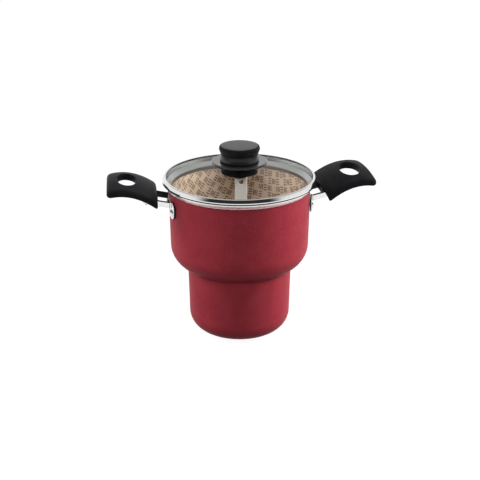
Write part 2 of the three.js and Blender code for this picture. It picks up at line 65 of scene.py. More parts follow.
# Fineness of the meshes
ARC_STEP = math.radians(9)
LATHE_TURNS = 192
RING_TURNS = 256
DISC_TURNS = 96
SMALL_TURNS = 64
TINY_TURNS = 48
HOLE_SIDES = 28
HANDLE_STEPS = 240
EDGE_STEPS = 7
SPAN_STEPS = 14
TAIL_STEPS = 4
DOME_STEPS = 10
GLASS_STEPS = 24
END_STEPS = 8

# Sizes of the pot, in millimetres
POT_HIGH = cad_box("pot_body")[1]
RIM_RADIUS = POT_HIGH.x
POT_TOP = POT_HIGH.z
WALL = 2.0
BASE = 3.0
BASE_CORNER = 20.7
BASE_RECESS = 0.5
BASE_RECESS_RADIUS = 27.0
BASE_RECESS_SLOPE = 1.5
BASE_RECESS_FILLET = 0.8
LOWER_RADIUS = 53.3
LOWER_TAPER = 1.2
CREASE_HEIGHT = 71.5
CREASE_FILLET = 0.7
INNER_CREASE_FILLET = 1.7
SHOULDER = 24.3
UPPER_TAPER = 1.2
FLARE_WIDTH = 4.2
FLARE_HEIGHT = 5.7
FLARE_FILLET = 5.0
RIM_EDGE = 0.9
RIM_FILLET = 0.42
UPPER_RADIUS = RIM_RADIUS - FLARE_WIDTH
FLARE_FOOT = POT_TOP - FLARE_HEIGHT
RED_TOP = FLARE_FOOT + 0.3
TAN_TOP = FLARE_FOOT - 1.0
LOWER_FOOT = LOWER_RADIUS - LOWER_TAPER
SHOULDER_R = UPPER_RADIUS - UPPER_TAPER - SHOULDER
SHOULDER_ANGLE = math.acos((LOWER_RADIUS - SHOULDER_R) / SHOULDER)
SHOULDER_Z = CREASE_HEIGHT + SHOULDER * math.sin(SHOULDER_ANGLE)
WEAVE_COLUMN = 5.5
WEAVE_ROW = 8.2
WEAVE_TURN = 0.65
WEAVE_LEVEL = math.radians(37)

# Sizes of the lid, in millimetres
RING_LOW, RING_HIGH = cad_box("lid_ring")
RING_RADIUS = RING_HIGH.x
SKIRT_BOTTOM = RING_LOW.z
RING_SHEET = 0.5
RING_FOOT = 0.9
RING_SHADE = 1.6
RING_SIDE = 2.5
RING_BEVEL = 1.6
RING_SHOULDER = 2.6
RING_SEAT = POT_TOP + 0.3
RING_TOP = 166.6
LIP_RADIUS = 74.3
LIP_THICKNESS = 1.2
SKIRT_RADIUS = UPPER_RADIUS - WALL - 0.5
HEM_HEIGHT = 3.4
HEM_THICKNESS = 0.9
SLOPE_TOP = RIM_RADIUS - WALL - 0.5
GLASS_APEX = cad_box("lid_glass")[1].z
GLASS_THICKNESS = 3.5
GLASS_HOLE = 4.5
GLASS_ROUND = 1.2
GLASS_EDGE = RING_RADIUS - RING_SHEET - 0.3
GLASS_EDGE_TOP = RING_TOP - LIP_THICKNESS - 0.2
GUARD_LOW, GUARD_HIGH = cad_box("knob_guard")
GUARD_THICKNESS = 2.5
GUARD_DISH = 0.15
GUARD_DISH_MARGIN = 1.5
PAD_CLEARANCE = 0.2
KNOB_BASE_RADIUS = 18.2
KNOB_BASE_TAPER = 0.7
KNOB_BORE = 2.8
WASHER_RADIUS = 7.0
GRIP_LOW, GRIP_HIGH = cad_box("knob_grip")
KNOB_FOOT_RADIUS = 19.7
KNOB_FOOT_HEIGHT = 1.3
KNOB_WAIST_RADIUS = 18.8
KNOB_WAIST_HEIGHT = 3.6
KNOB_CAP_HEIGHT = 8.8
KNOB_CAP_TAPER = 0.7
KNOB_CROWN_MARGIN = 6.0
KNOB_BULGE = 3.6
KNOB_CROWN = 0.4
KNOB_SOCKET_RADIUS = 4.5
KNOB_SOCKET_DEPTH = 11.2
KNOB_SCREW_FACE = 2.9
KNOB_SCREW_RADIUS = 4.6
KNOB_SCREW_BEVEL = 1.2
KNOB_SCREW_HEAD = 2.2
KNOB_SCREW_SHANK = 2.5
DRIVER_REACH = 6.0
DRIVER_HALF_WIDTH = 0.6
DRIVER_DEPTH = 1.0

# Sizes of the handles, in millimetres
HANDLE_INNER = UPPER_RADIUS + 12.0
HANDLE_OUTER = HANDLE_INNER + 50.0
HANDLE_HALF_INNER = 34.0
HANDLE_HALF_OUTER = 31.0
HANDLE_SKEW = 0.065
RIGHT_HANDLE_LEAN = 0.045
HANDLE_THICKNESS = 7.0
HANDLE_CROWN = 4.0
HANDLE_EDGE = 3.2
HANDLE_INNER_CORNER = 2.5
HANDLE_OUTER_CORNER = 5.6
HANDLE_HOLE_X = HANDLE_INNER + 30.0
HANDLE_HOLE_RADIAL = 9.6
HANDLE_HOLE_TANGENTIAL = 18.0
HANDLE_HOLE_EDGE = 0.9
STRAP_TOP = POT_TOP - 13.3
STRAP_HEIGHT = 6.6
STRAP_SHEET = 1.8
STRAP_EDGE = 0.45
# Height of the band along the strap's upper edge that takes a painted dark reflection
STRAP_REFLECTION_BAND = 1.1
STRAP_RISE = 0.225
STRAP_ARM = 15.5
STRAP_BEND = 4.0
STRAP_ROOT_BEND = 2.4
STRAP_TAIL = 5.0
STRAP_THINNING = 2.2
GROOVE_CLEARANCE = 0.25
GROOVE_TAIL = 3.0
HANDLE_INNER_HEIGHT = STRAP_TOP + 8.4
HANDLE_ARCH_HEIGHT = STRAP_TOP + 27.8
HANDLE_OUTER_HEIGHT = STRAP_TOP + 20.8
BOSS_LOW = STRAP_TOP - 2.5
BOSS_HALF_WIDTH = 13.25
BOSS_CORNER = 2.0
BOSS_CLEARANCE = 0.3
STRAP_NOSE = cad_box("handle_bracket_right")[1].x
EAR_INNER = UPPER_RADIUS + 0.12
EAR_SHEET = 1.6
EAR_HALF_WIDTH = 6.1
EAR_TOP_CORNER = 5.5
EAR_INNER_CORNER = 1.8
EAR_CENTRE_RISE = 2.0
EAR_EDGE = 0.4
STRAP_TAIL_SHEET = 0.92 * EAR_SHEET
RIVET_CLEARANCE = 0.2
RIVET_RADIUS = 4.0
RIVET_RIM = 0.35
RIVET_DOME_RADIUS = 3.8
RIVET_DOME_SEAT = 0.4
RIVET_DOME = 2.0
RIVET_SHANK = 2.2
RIVET_TAIL = 1.2
SCREW_CLEARANCE = 0.1
SCREW_LENGTH = 10.8
SCREW_TIP = 1.2
SCREW_TIP_RADIUS = 1.3
SCREW_SHANK = 1.9
SCREW_RADIUS = 3.4
SCREW_RIM = 0.5
SCREW_DOME_RADIUS = 3.2
SCREW_DOME_SEAT = 0.6
SCREW_DOME = 1.3
SCREW_TOP = 2.2
RECESS_SIZE = 3.6
RECESS_DEPTH = 1.3

# Sizes of the steam plate and its lift strip, in millimetres
PLATE_LOW, PLATE_HIGH = cad_box("steam_plate")
STRIP_LOW, STRIP_HIGH = cad_box("lift_strip")
PLATE_TURN = math.radians(-17.4)
STRIP_WIDTH = 12.6
STRIP_SHEET = 1.5
STRIP_SETBACK = 10.0
STRIP_FOOT = 24.0
STRIP_BEND = 3.0
STRIP_CORNER = 2.5
STRIP_EDGE = 0.35
SLOT_WIDTH = 5.2
SLOT_LENGTH = 7.8
SLOT_TOP_MARGIN = 2.6
SLOT_REACH = 3.0
STRIP_RIVET_RADIUS = 3.0
STRIP_RIVET_SHANK = 1.6
STRIP_RIVET_RIM = 0.2
PLATE_HOLE_RADIUS = 2.2
PLATE_RING_COUNT = 4
PLATE_RING_PITCH = 10.0
PLATE_RING_MARGIN = 9.0
PLATE_HOLE_SPACING = 11.5
PLATE_BEVEL = 0.25


# Lines and meshes

def arc(centre, radius, start, end):
    """Points along a circular arc, with angles in radians from the first axis."""
    steps = max(2, math.ceil(abs(end - start) / ARC_STEP))
    angles = np.linspace(start, end, steps + 1)
    return [(centre[0] + radius * math.cos(a), centre[1] + radius * math.sin(a)) for a in angles]


def filleted(corners, closed=False):
    """A line through (a, b) or (a, b, radius) corners, each rounded to its radius."""
    line = []
    last = len(corners) - 1
    for i, corner in enumerate(corners):
        here = np.array(corner[:2], float)
        if len(corner) < 3 or (not closed and i in (0, last)):
            line.append(here)
            continue
        radius = corner[2]
        before = np.array(corners[i - 1][:2], float) - here
        after = np.array(corners[(i + 1) % len(corners)][:2], float) - here
        before /= np.linalg.norm(before)
        after /= np.linalg.norm(after)
        half = math.acos(np.clip(before @ after, -1, 1)) / 2
        middle = before + after
        centre = here + middle / np.linalg.norm(middle) * radius / math.sin(half)
        start = here + before * radius / math.tan(half) - centre
        end = here + after * radius / math.tan(half) - centre
        sweep = math.copysign(math.pi - 2 * half, start[0] * end[1] - start[1] * end[0])
        steps = max(2, math.ceil(abs(sweep) / ARC_STEP))
        for k in range(steps + 1):
            c = math.cos(sweep * k / steps)
            s = math.sin(sweep * k / steps)
            line.append(centre + np.array([c * start[0] - s * start[1], s * start[0] + c * start[1]]))
    return np.array(line)


def rounded_box(low, high, radius):
    """A rectangle between two corner points, with its corners rounded."""
    corners = [(low[0], low[1]), (high[0], low[1]), (high[0], high[1]), (low[0], high[1])]
    return filleted([(a, b, radius) for a, b in corners], closed=True)


def unit_rows(rows):
    """Rows of vectors, each brought to length one."""
    return rows / np.linalg.norm(rows, axis=1)[:, None]


def right_of(ahead):
    """Directions to the right of others in the plane."""
    return unit_rows(np.column_stack([ahead[:, 1], -ahead[:, 0]]))


def run_along(line):
    """How far along a line each of its points lies."""
    return np.concatenate([[0], np.cumsum(np.linalg.norm(np.diff(line, axis=0), axis=1))])


def points_at(line, stops):
    """Points of a line at distances along it."""
    run = run_along(line)
    return np.column_stack([np.interp(stops, run, line[:, k]) for k in (0, 1)])


def put_in_scene(name, data):
    """A new object of the scene that holds a mesh, curve, lamp or camera."""
    item = bpy.data.objects.new(name, data)
    bpy.context.scene.collection.objects.link(item)
    return item


def mesh_piece(name, vertices, faces, finishes, face_finish=None):
    """A smooth-shaded mesh object from vertices in millimetres, creased where its faces meet sharply."""
    mesh = bpy.data.meshes.new(name)
    mesh.from_pydata((np.asarray(vertices, float) * MM).tolist(), [], faces)
    for finish in finishes:
        mesh.materials.append(finish)
    if face_finish is not None:
        mesh.polygons.foreach_set("material_index", face_finish)
    face_out(mesh)
    return put_in_scene(name, mesh)


def face_out(mesh):
    """Turn a closed mesh's faces outwards and shade it smooth between creases."""
    work = bmesh.new()
    work.from_mesh(mesh)
    bmesh.ops.recalc_face_normals(work, faces=work.faces)
    work.to_mesh(mesh)
    work.free()
    mesh.shade_smooth()
    mesh.set_sharp_from_angle(angle=SHARP_ANGLE)


def lathe(name, bands, closed=False, turns=LATHE_TURNS):
    """Revolve lines of (radius, height) points about Z. Each band is (points, finish)."""
    points = []
    number = []
    finishes = []
    for line, finish in bands:
        if finish not in finishes:
            finishes.append(finish)
        for point in line:
            if not points or math.dist(point, points[-1]) > TOUCH:
                points.append(tuple(point))
                number.append(finishes.index(finish))
    vertices = []
    rows = []
    angles = 2 * math.pi * np.arange(turns) / turns
    for radius, height in points:
        start = len(vertices)
        if radius < TOUCH:
            vertices.append((0, 0, height))
            rows.append([start] * turns)
        else:
            vertices.extend((radius * math.cos(a), radius * math.sin(a), height) for a in angles)
            rows.append(range(start, start + turns))
    faces = []
    face_finish = []
    for low in range(len(points) if closed else len(points) - 1):
        high = (low + 1) % len(points)
        for k in range(turns):
            after = (k + 1) % turns
            corners = [rows[low][k], rows[low][after], rows[high][after], rows[high][k]]
            face = list(dict.fromkeys(corners))
            if len(face) > 2:
                faces.append(face)
                face_finish.append(number[high])
    return mesh_piece(name, vertices, faces, finishes, face_finish)


def banded(line, pick):
    """Split a line into runs of points that pick gives the same finish."""
    runs = []
    for point in line:
        finish = pick(point[0], point[1])
        if not runs or runs[-1][1] is not finish:
            runs.append(([], finish))
        runs[-1][0].append(point)
    return runs


def loft(name, rings, finish, loop=False):
    """Skin over closed rings of equally many points. The ends are capped, or joined in a loop."""
    size = len(rings[0])
    vertices = [point for ring in rings for point in ring]
    faces = []
    for ring in range(len(rings) if loop else len(rings) - 1):
        here = ring * size
        there = (ring + 1) % len(rings) * size
        for i in range(size):
            after = (i + 1) % size
            faces.append((here + i, here + after, there + after, there + i))
    if not loop:
        for start in (0, (len(rings) - 1) * size):
            middle = len(vertices)
            vertices.append(np.mean(vertices[start:start + size], axis=0))
            faces.extend((start + i, start + (i + 1) % size, middle) for i in range(size))
    return mesh_piece(name, vertices, faces, [finish])


def combine(piece, tools, operation):
    """Join tools to a piece, or cut them out of it, and drop the tools."""
    for tool in tools:
        modifier = piece.modifiers.new(operation.lower(), "BOOLEAN")
        modifier.operation = operation
        modifier.solver = "EXACT"
        modifier.object = tool
    shaped = piece.evaluated_get(bpy.context.evaluated_depsgraph_get())
    mesh = bpy.data.meshes.new_from_object(shaped)
    piece.modifiers.clear()
    piece.data = mesh
    for tool in tools:
        bpy.data.objects.remove(tool)
    face_out(mesh)


def stand_for(piece, node):
    """The piece takes the place of a CAD node, on that node's body, and the CAD node is hidden."""
    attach(piece, BODY_OF[node])
    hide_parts(node)


def box_rings(low, high, corner):
    """Rings of an upright box with rounded corners, between two corner points."""
    outline = rounded_box(low, high, corner)
    return [[(x, y, z) for x, y in outline] for z in (low[2], high[2])]


# Node trees

def new_finish(name):
    """A material with nodes, and its main shader."""
    finish = bpy.data.materials.new(name)
    finish.use_nodes = True
    return finish, finish.node_tree, finish.node_tree.nodes["Principled BSDF"]


def feed(tree, socket, value):
    """Link a socket to another one, or set its value."""
    if isinstance(value, bpy.types.NodeSocket):
        tree.links.new(value, socket)
    else:
        socket.default_value = value


def add(tree, kind, inputs=None, **settings):
    """A new node with its settings, and its inputs set to values or linked from sockets."""
    node = tree.nodes.new(kind)
    for key, value in settings.items():
        setattr(node, key, value)
    for key, value in (inputs or {}).items():
        feed(tree, node.inputs[key], value)
    return node


def calc(tree, operation, first, second=0.0):
    """The result of a math node."""
    return add(tree, "ShaderNodeMath", {0: first, 1: second}, operation=operation).outputs[0]


def fade(tree, value, start, end, low=0.0, high=1.0):
    """A value carried smoothly from one range to another."""
    inputs = {"Value": value, "From Min": start, "From Max": end, "To Min": low, "To Max": high}
    return add(tree, "ShaderNodeMapRange", inputs, interpolation_type="SMOOTHSTEP").outputs[0]


def blend(tree, share, first, second):
    """A colour between two colours."""
    node = add(tree, "ShaderNodeMix", data_type="RGBA")
    for place, value in ((0, share), (6, first), (7, second)):
        feed(tree, node.inputs[place], value)
    return node.outputs[2]


def noise(tree, scale, detail=2.0, stretch=(1, 1, 1)):
    """Noise in the piece's own coordinates, with its scale per metre."""
    place = add(tree, "ShaderNodeTexCoord").outputs["Object"]
    mapped = add(tree, "ShaderNodeMapping", {"Vector": place, "Scale": stretch}).outputs[0]
    inputs = {"Vector": mapped, "Scale": scale, "Detail": detail}
    return add(tree, "ShaderNodeTexNoise", inputs).outputs["Fac"]


def bump(tree, shader, height, distance, strength=1.0):
    """Raise the shader's surface by a height in metres."""
    inputs = {"Height": height, "Distance": distance, "Strength": strength}
    tree.links.new(add(tree, "ShaderNodeBump", inputs).outputs[0], shader.inputs["Normal"])


def set_shader(tree, shader, **values):
    """Set or link the shader's inputs by name."""
    for key, value in values.items():
        feed(tree, shader.inputs[key.replace("_", " ")], value)


# Finishes

def red_coating():
    """Satin red coating with fine light and dark specks."""
    finish, tree, shader = new_finish("red_coating")
    cloud = fade(tree, noise(tree, 60, 3), 0.3, 0.7)
    speck = noise(tree, 900, 2)
    light = fade(tree, speck, 0.60, 0.74)
    dark = fade(tree, speck, 0.42, 0.28)
    ground = blend(tree, cloud, (0.246, 0.026, 0.037, 1), (0.276, 0.031, 0.043, 1))
    darker = blend(tree, calc(tree, "MULTIPLY", dark, 0.45), ground, (0.130, 0.012, 0.018, 1))
    colour = blend(tree, calc(tree, "MULTIPLY", light, 0.4), darker, (0.400, 0.080, 0.098, 1))
    rough = fade(tree, noise(tree, 400, 2), 0.3, 0.7, 0.44, 0.54)
    set_shader(tree, shader, Base_Color=colour, Roughness=rough, Metallic=0.05, Specular_IOR_Level=0.03)
    bump(tree, shader, noise(tree, 1400, 2), 0.00005, 0.6)
    return finish


def off_line(tree, value):
    """How far a place in a cell lies from the nearest of its three dashes, as a share of their spacing."""
    spaced = calc(tree, "FRACT", calc(tree, "ADD", calc(tree, "MULTIPLY", value, 3.0), 0.5))
    return calc(tree, "ABSOLUTE", calc(tree, "SUBTRACT", spaced, 0.5))


def tan_weave():
    """Tan non-stick coating printed with a basket weave of brown dashes."""
    finish, tree, shader = new_finish("tan_weave")
    place = add(tree, "ShaderNodeUVMap", uv_map="weave").outputs[0]
    split = add(tree, "ShaderNodeSeparateXYZ", {0: place})
    row = calc(tree, "ROUND", split.outputs[0])
    column = calc(tree, "ROUND", split.outputs[1])
    up = calc(tree, "SUBTRACT", split.outputs[0], row)
    across = calc(tree, "SUBTRACT", split.outputs[1], column)
    odd = calc(tree, "FLOORED_MODULO", calc(tree, "ADD", column, row), 2.0)
    step = calc(tree, "FLOORED_MODULO", calc(tree, "SUBTRACT", column, calc(tree, "MULTIPLY", row, 2.0)), 4.0)
    filled = calc(tree, "LESS_THAN", step, 2.5)
    tall_line = fade(tree, off_line(tree, across), 0.38, 0.30)
    tall = calc(tree, "MULTIPLY", tall_line, fade(tree, calc(tree, "ABSOLUTE", up), 0.38, 0.33))
    wide_line = fade(tree, off_line(tree, up), 0.31, 0.23)
    wide = calc(tree, "MULTIPLY", wide_line, fade(tree, calc(tree, "ABSOLUTE", across), 0.38, 0.31))
    inside = add(tree, "ShaderNodeMix", {0: odd, 2: tall, 3: wide}).outputs[0]
    worn = fade(tree, noise(tree, 500, 2), 0.25, 0.7, 0.9, 1.0)
    ink = calc(tree, "MULTIPLY", calc(tree, "MULTIPLY", inside, filled), worn)
    cloud = fade(tree, noise(tree, 45, 3), 0.3, 0.7)
    ground = blend(tree, cloud, (0.510, 0.372, 0.273, 1), (0.560, 0.410, 0.302, 1))
    colour = blend(tree, ink, ground, (0.160, 0.091, 0.057, 1))
    rough = fade(tree, noise(tree, 300, 2), 0.3, 0.7, 0.38, 0.48)
    set_shader(tree, shader, Base_Color=colour, Roughness=rough, Specular_IOR_Level=0.25)
    bump(tree, shader, ink, 0.00008, 0.5)
    return finish


def metal(name, colour, dull, rough, grain, stretch=(1, 1, 1), whole=1.0):
    """Bare metal with a grain in its colour, gloss and surface."""
    finish, tree, shader = new_finish(name)
    streak = fade(tree, noise(tree, grain, 3, stretch), 0.25, 0.75)
    shade = blend(tree, streak, (*(c * dull for c in colour), 1), (*colour, 1))
    gloss = fade(tree, noise(tree, grain * 0.4, 2, stretch), 0.25, 0.75, rough[0], rough[1])
    set_shader(tree, shader, Base_Color=shade, Roughness=gloss, Metallic=whole)
    bump(tree, shader, streak, 0.00001, 0.5)
    return finish


def black_plastic(name, gloss, level, coat=0.0):
    """Black moulded plastic with a fine spark-eroded grain, in a range of gloss."""
    finish, tree, shader = new_finish(name)
    cloud = fade(tree, noise(tree, 90, 3), 0.3, 0.7)
    colour = blend(tree, cloud, (0.005, 0.005, 0.006, 1), (0.008, 0.008, 0.009, 1))
    rough = fade(tree, noise(tree, 700, 2), 0.3, 0.7, gloss[0], gloss[1])
    set_shader(tree, shader, Base_Color=colour, Roughness=rough, Specular_IOR_Level=level)
    set_shader(tree, shader, Coat_Weight=coat, Coat_Roughness=0.16)
    bump(tree, shader, noise(tree, 2600, 2), 0.00003, 0.15)
    return finish


def clear_glass():
    """Clear lid glass: light passes straight through, and the surface mirrors more at a glance."""
    finish, tree, shader = new_finish("clear_glass")
    tree.nodes.remove(shader)
    smear = fade(tree, noise(tree, 35, 3), 0.35, 0.75)
    rough = fade(tree, smear, 0, 1, 0.01, 0.06)
    wave = noise(tree, 25, 1)
    normal = add(tree, "ShaderNodeBump", {"Height": wave, "Distance": 0.0002, "Strength": 0.2}).outputs[0]
    mirror = add(tree, "ShaderNodeBsdfGlossy", {"Roughness": rough, "Normal": normal})
    tint = blend(tree, smear, (0.965, 0.975, 0.968, 1), (0.945, 0.957, 0.950, 1))
    through = add(tree, "ShaderNodeBsdfTransparent", {"Color": tint})
    glance = add(tree, "ShaderNodeFresnel", {"IOR": 1.42}).outputs[0]
    outside = calc(tree, "SUBTRACT", 1.0, add(tree, "ShaderNodeNewGeometry").outputs["Backfacing"])
    edge = calc(tree, "MULTIPLY", calc(tree, "MULTIPLY", glance, outside), 0.4)
    mixed = add(tree, "ShaderNodeMixShader", {0: edge, 1: through.outputs[0], 2: mirror.outputs[0]})
    tree.links.new(mixed.outputs[0], tree.nodes["Material Output"].inputs["Surface"])
    return finish


def black_silicone():
    """Matte gasket rubber with a dusty bloom."""
    finish, tree, shader = new_finish("black_silicone")
    dust = fade(tree, noise(tree, 350, 3), 0.35, 0.75)
    colour = blend(tree, dust, (0.018, 0.018, 0.020, 1), (0.030, 0.030, 0.032, 1))
    rough = fade(tree, dust, 0, 1, 0.6, 0.75)
    set_shader(tree, shader, Base_Color=colour, Roughness=rough)
    bump(tree, shader, dust, 0.00003, 0.5)
    return finish


RED = red_coating()
TAN = tan_weave()
BARE_RIM = metal("bare_rim", (0.80, 0.80, 0.78), 0.94, (0.16, 0.26), 500, (1, 1, 6))
POLISHED = metal("polished_steel", (0.78, 0.78, 0.77), 0.95, (0.05, 0.11), 350)
DULL = metal("dull_aluminium", (0.93, 0.92, 0.885), 0.96, (0.5, 0.6), 900, (6, 6, 1), whole=0.1)
SATIN = metal("satin_aluminium", (0.72, 0.71, 0.68), 0.94, (0.34, 0.46), 900, (6, 6, 1))
# The ring's own steel darkened well below the polished steel: painted shade on the hem
HEM_SHADED_STEEL = metal("hem_steel_painted_shade", (0.24, 0.235, 0.23), 0.9, (0.28, 0.38), 500)
SLOPE_STEEL = metal("slope_steel", (0.64, 0.635, 0.62), 0.94, (0.28, 0.36), 500)
# Near-black steel that paints shade: painted dark reflections on the handle straps, and painted shade at the
# lid ring's lip edge and foot
PAINTED_SHADE = metal("painted_shade_steel", (0.020, 0.020, 0.022), 0.8, (0.3, 0.4), 500)
BRASS = metal("turned_brass", (0.72, 0.50, 0.20), 0.9, (0.22, 0.34), 800, (1, 1, 8))
BLACK = black_plastic("black_grip", (0.46, 0.56), 0.05)
SATIN_BLACK = black_plastic("black_knob", (0.30, 0.38), 0.38)
GUARD_BLACK = black_plastic("black_guard", (0.14, 0.20), 0.4, 0.6)
GLASS = clear_glass()
RUBBER = black_silicone()


# Pot: one drawn shell, red outside, bare round the flared rim, tan and patterned inside

def pot_profile():
    """The shell's outline from the base's underside, over the rim, to the base's inside."""
    corner = (LOWER_FOOT - BASE_CORNER, BASE_CORNER)
    inner_corner = BASE_CORNER - WALL
    inner_shoulder = SHOULDER - WALL
    inner_angle = math.acos((LOWER_RADIUS - WALL - SHOULDER_R) / inner_shoulder)
    inner_crease = SHOULDER_Z - inner_shoulder * math.sin(inner_angle)
    quarter = math.pi / 2
    outside = [
        (0, BASE_RECESS),
        (BASE_RECESS_RADIUS - BASE_RECESS_SLOPE, BASE_RECESS, BASE_RECESS_FILLET),
        (BASE_RECESS_RADIUS, 0, BASE_RECESS_FILLET),
        *arc(corner, BASE_CORNER, -quarter, 0),
        (LOWER_RADIUS, CREASE_HEIGHT, CREASE_FILLET),
        *arc((SHOULDER_R, SHOULDER_Z), SHOULDER, -SHOULDER_ANGLE, 0)[1:],
        (UPPER_RADIUS, FLARE_FOOT, FLARE_FILLET),
        (RIM_RADIUS, POT_TOP - RIM_EDGE, RIM_FILLET),
        (RIM_RADIUS, POT_TOP, RIM_FILLET),
    ]
    inside = [
        (RIM_RADIUS - WALL, POT_TOP, RIM_FILLET),
        (UPPER_RADIUS - WALL, FLARE_FOOT, FLARE_FILLET),
        *arc((SHOULDER_R, SHOULDER_Z), inner_shoulder, 0, -inner_angle)[:-1],
        (LOWER_RADIUS - WALL, inner_crease, INNER_CREASE_FILLET),
        *arc((corner[0], BASE + inner_corner), inner_corner, 0, -quarter),
        (0, BASE),
    ]
    return filleted(outside + inside)


def weave_place(x, y, z):
    """Where a point inside the pot lies in the printed pattern, in cells."""
    if z < BASE + BASE_CORNER:
        return y / WEAVE_ROW, x / WEAVE_COLUMN
    turn = (math.atan2(-x, y) + WEAVE_LEVEL) * WEAVE_TURN
    developed = (UPPER_RADIUS - WALL) / WEAVE_TURN + z - (SHOULDER_Z + FLARE_FOOT) / 2
    return developed * math.cos(turn) / WEAVE_ROW, developed * math.sin(turn) / WEAVE_COLUMN


def make_pot():
    """The shell in its three finishes, with the printed weave laid over its inside."""
    line = pot_profile()
    top = int(np.argmax(line[:, 1]))
    bare_start = next(i for i in range(top) if line[i, 1] > RED_TOP)
    bare_end = next(i for i in range(top, len(line)) if line[i, 1] < TAN_TOP)
    bands = [
        (line[:bare_start + 1], RED),
        (line[bare_start:bare_end + 1], BARE_RIM),
        (line[bare_end:], TAN),
    ]
    pot = lathe("pot_shell", bands)
    mesh = pot.data
    places = mesh.uv_layers.new(name="weave").data
    for face in mesh.polygons:
        before_axis = face.center.y < 0
        for loop, vertex in zip(face.loop_indices, face.vertices):
            spot = mesh.vertices[vertex].co / MM
            on_seam = before_axis and abs(spot.x) < TOUCH
            x = math.copysign(TOUCH, face.center.x) if on_seam else spot.x
            places[loop].uv = weave_place(x, spot.y, spot.z)
    stand_for(pot, "pot_body")


# Handles

def handle_top(x, y):
    """Height of the grip's crowned and arched upper face."""
    along = (x - HANDLE_INNER) / (HANDLE_OUTER - HANDLE_INNER)
    back = 1 - along
    centre = HANDLE_INNER_HEIGHT * back ** 2 + 2 * HANDLE_ARCH_HEIGHT * along * back
    return centre + HANDLE_OUTER_HEIGHT * along ** 2 - HANDLE_CROWN * (y / HANDLE_HALF_INNER) ** 2


def handle_outline(count):
    """Points evenly round the grip seen from above, and the directions out of it."""
    corners = [
        (HANDLE_INNER, -HANDLE_HALF_INNER, HANDLE_INNER_CORNER),
        (HANDLE_OUTER, -HANDLE_HALF_OUTER, HANDLE_OUTER_CORNER),
        (HANDLE_OUTER, HANDLE_HALF_OUTER, HANDLE_OUTER_CORNER),
        (HANDLE_INNER, HANDLE_HALF_INNER, HANDLE_INNER_CORNER),
    ]
    line = filleted(corners, closed=True)
    line = np.vstack([line, line[:1]])
    points = points_at(line, np.linspace(0, run_along(line)[-1], count, endpoint=False))
    ahead = np.roll(points, -1, axis=0) - np.roll(points, 1, axis=0)
    return points, right_of(ahead)


def handle_bar(name, skew, lean):
    """The grip's bar round its finger hole, with every edge rounded."""
    outer, outward = handle_outline(HANDLE_STEPS)
    centre = np.array([HANDLE_HOLE_X, 0])
    radii = np.array([HANDLE_HOLE_RADIAL, HANDLE_HOLE_TANGENTIAL])
    unit = unit_rows((outer - centre) / radii)
    hole = centre + unit * radii
    inward = unit_rows(unit / radii)
    bend = np.linspace(0, math.pi / 2, EDGE_STEPS)
    upper = []
    for angle in bend:
        place = hole + inward * HANDLE_HOLE_EDGE * (1 - math.cos(angle))
        upper.append((place, HANDLE_HOLE_EDGE * (1 - math.sin(angle))))
    start = hole + inward * HANDLE_HOLE_EDGE
    end = outer - outward * HANDLE_EDGE
    for share in np.linspace(0, 1, SPAN_STEPS)[1:-1]:
        upper.append((start + (end - start) * share, 0))
    for angle in bend[::-1]:
        place = outer - outward * HANDLE_EDGE * (1 - math.cos(angle))
        upper.append((place, HANDLE_EDGE * (1 - math.sin(angle))))
    lower = [(place, HANDLE_THICKNESS - drop) for place, drop in upper[::-1]]
    rings = []
    for place, drop in upper + lower:
        rings.append([(x + skew * y, y, handle_top(x, y) + lean * y - drop) for x, y in place])
    return loft(name, rings, BLACK, loop=True)


def strap_rings(margin, tail):
    """Rings of the U strap from one end to the other, with its sheet grown by a margin."""
    nose = STRAP_NOSE - STRAP_SHEET / 2
    middle = EAR_INNER + EAR_SHEET / 2
    root = math.asin(STRAP_ARM / middle)
    end = root + tail / middle
    ear = [(middle * math.cos(a), middle * math.sin(a)) for a in np.linspace(-end, -root, TAIL_STEPS)]
    near = [*ear[:-1], (*ear[-1], STRAP_ROOT_BEND), (nose, -STRAP_ARM, STRAP_BEND)]
    far = [(x, -y, *rest) for x, y, *rest in near[::-1]]
    line = filleted(near + far)
    side = right_of(np.gradient(line, axis=0))
    half = STRAP_SHEET / 2 + margin
    tall = STRAP_HEIGHT / 2 + margin
    corners = [
        (-half, -tall, STRAP_EDGE),
        (half, -tall, STRAP_EDGE),
        # This corner marks where the painted reflection band begins
        (half, tall - STRAP_REFLECTION_BAND),
        (half, tall, STRAP_EDGE),
        (-half, tall, STRAP_EDGE),
    ]
    section = filleted(corners, closed=True)
    rings = []
    for (x, y), (side_x, side_y) in zip(line, side):
        height = STRAP_TOP - STRAP_HEIGHT / 2 + STRAP_RISE * max(0, x - UPPER_RADIUS)
        on_wall = max(0.0, min(1.0, (middle + STRAP_THINNING - x) / STRAP_THINNING))
        thin = 1 - on_wall * (1 - STRAP_TAIL_SHEET / STRAP_SHEET) if margin == 0 else 1
        rings.append([(x + side_x * a * thin, y + side_y * a * thin, height + b) for a, b in section])
    return rings


